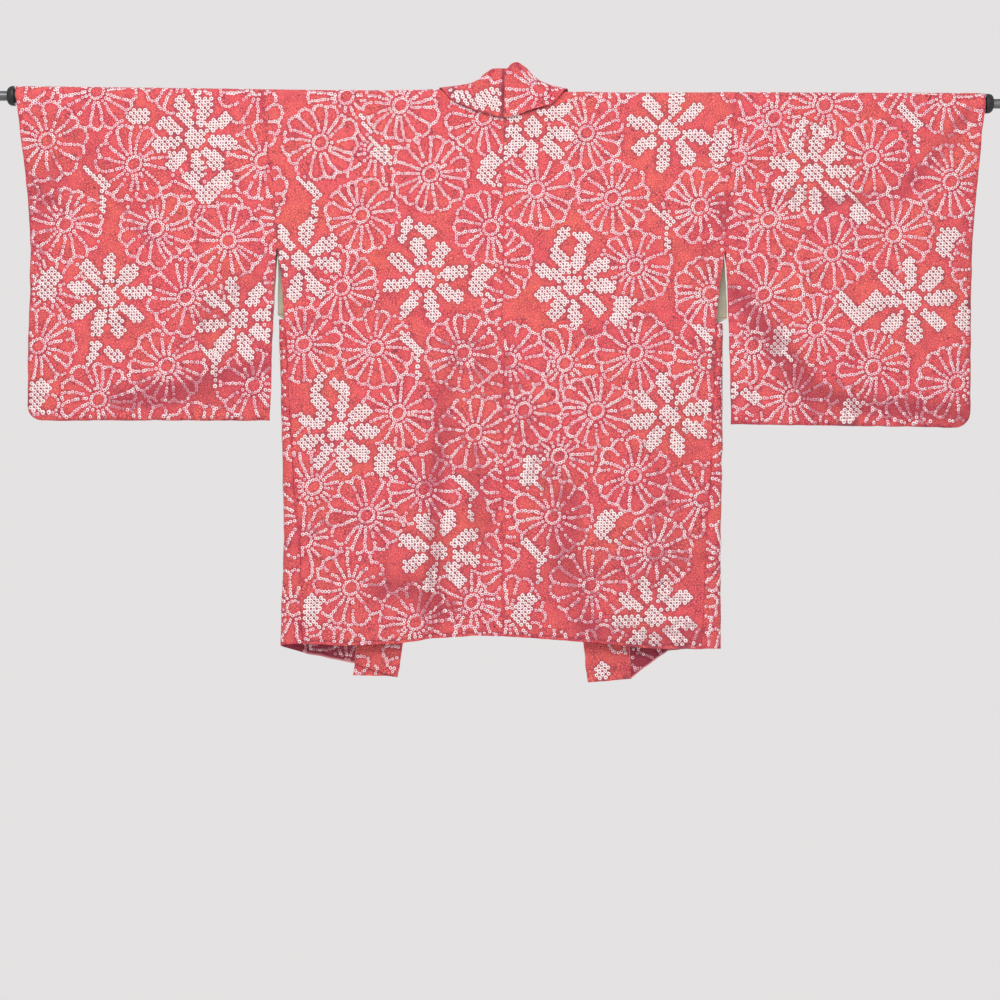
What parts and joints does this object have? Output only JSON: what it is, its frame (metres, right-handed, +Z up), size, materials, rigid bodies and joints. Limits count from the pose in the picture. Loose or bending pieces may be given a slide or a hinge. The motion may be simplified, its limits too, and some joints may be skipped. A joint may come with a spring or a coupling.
{
  "type": "haori jacket hung on a display rod",
  "caption": "Thigh-length kimono jacket with bag sleeves, side gussets and a folded collar, hung flat with its sleeves straight out on a horizontal rod.",
  "frame": {"origin": "middle of the display rod's axis, level with the middle of the shoulder line", "axes": "+X along the rod towards the wearer's right sleeve, +Z up, the back of the garment faces -Y and its open front +Y"},
  "size_m": [1.4, 0.0351, 0.8165],
  "materials": {
    "shibori_silk": "crinkled tie-dyed silk, soft sheen",
    "lining_silk": "smooth plain silk",
    "black_plastic": "satin",
    "grey_metal": "satin"
  },
  "bodies": {
    "root": {"body_left": "shibori_silk", "body_right": "shibori_silk", "collar_left": "shibori_silk", "collar_right": "shibori_silk", "sleeve_left": "shibori_silk", "sleeve_right": "shibori_silk", "gusset_left": "shibori_silk", "gusset_right": "shibori_silk", "lining_left": "lining_silk", "lining_right": "lining_silk", "rod": "black_plastic", "rod_knob_left": "black_plastic", "rod_knob_right": "black_plastic", "rod_bar_left": "grey_metal", "rod_bar_right": "grey_metal"}
  },
  "joints": []
}
